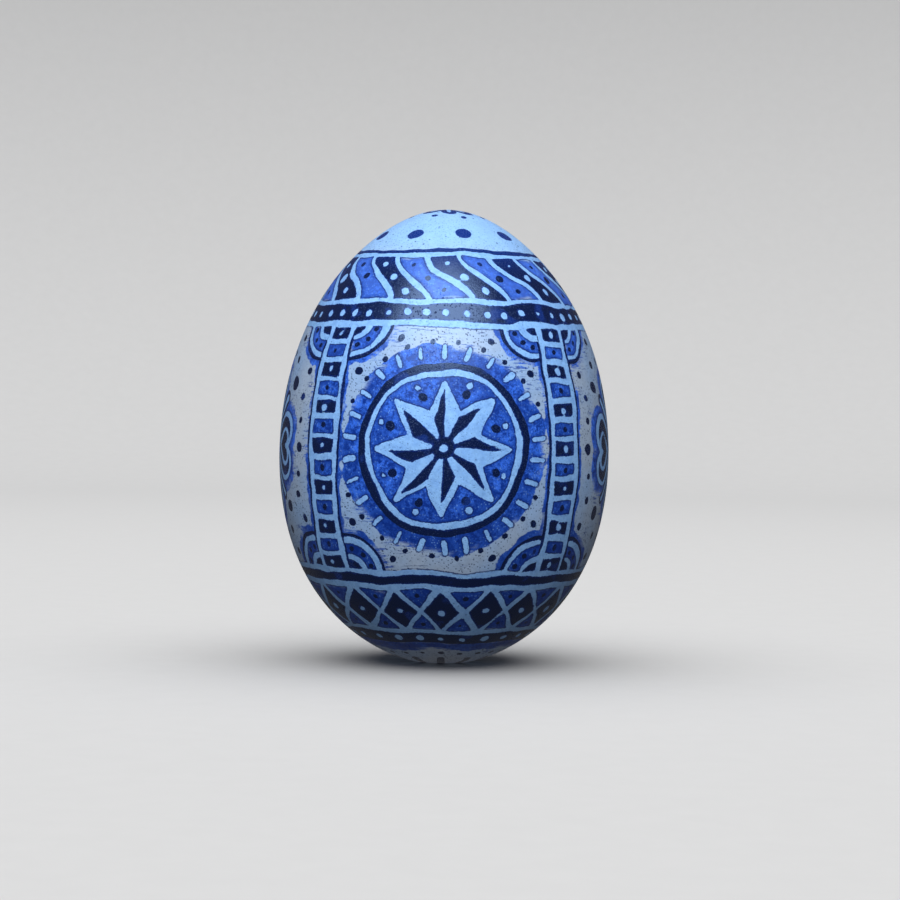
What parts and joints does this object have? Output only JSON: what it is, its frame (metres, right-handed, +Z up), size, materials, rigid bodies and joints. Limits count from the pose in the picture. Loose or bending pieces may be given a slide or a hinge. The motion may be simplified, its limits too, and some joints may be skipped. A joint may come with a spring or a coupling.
{
  "type": "decorated easter egg",
  "caption": "Whole hen's egg dyed in blues with a folk pattern, standing upright on a small flat spot at its blunt end.",
  "frame": {"origin": "centre of the small flat spot at the blunt end, which the egg rests on", "axes": "+Z up along the egg's axis to its pointed end; -Y is the side that faces the camera"},
  "size_m": [0.042, 0.042, 0.0575],
  "materials": {
    "dyed_eggshell": "satin eggshell, dyed pale blue, cobalt and navy over a bare lilac-grey ground"
  },
  "bodies": {
    "root": {"egg": "dyed_eggshell"}
  },
  "joints": []
}
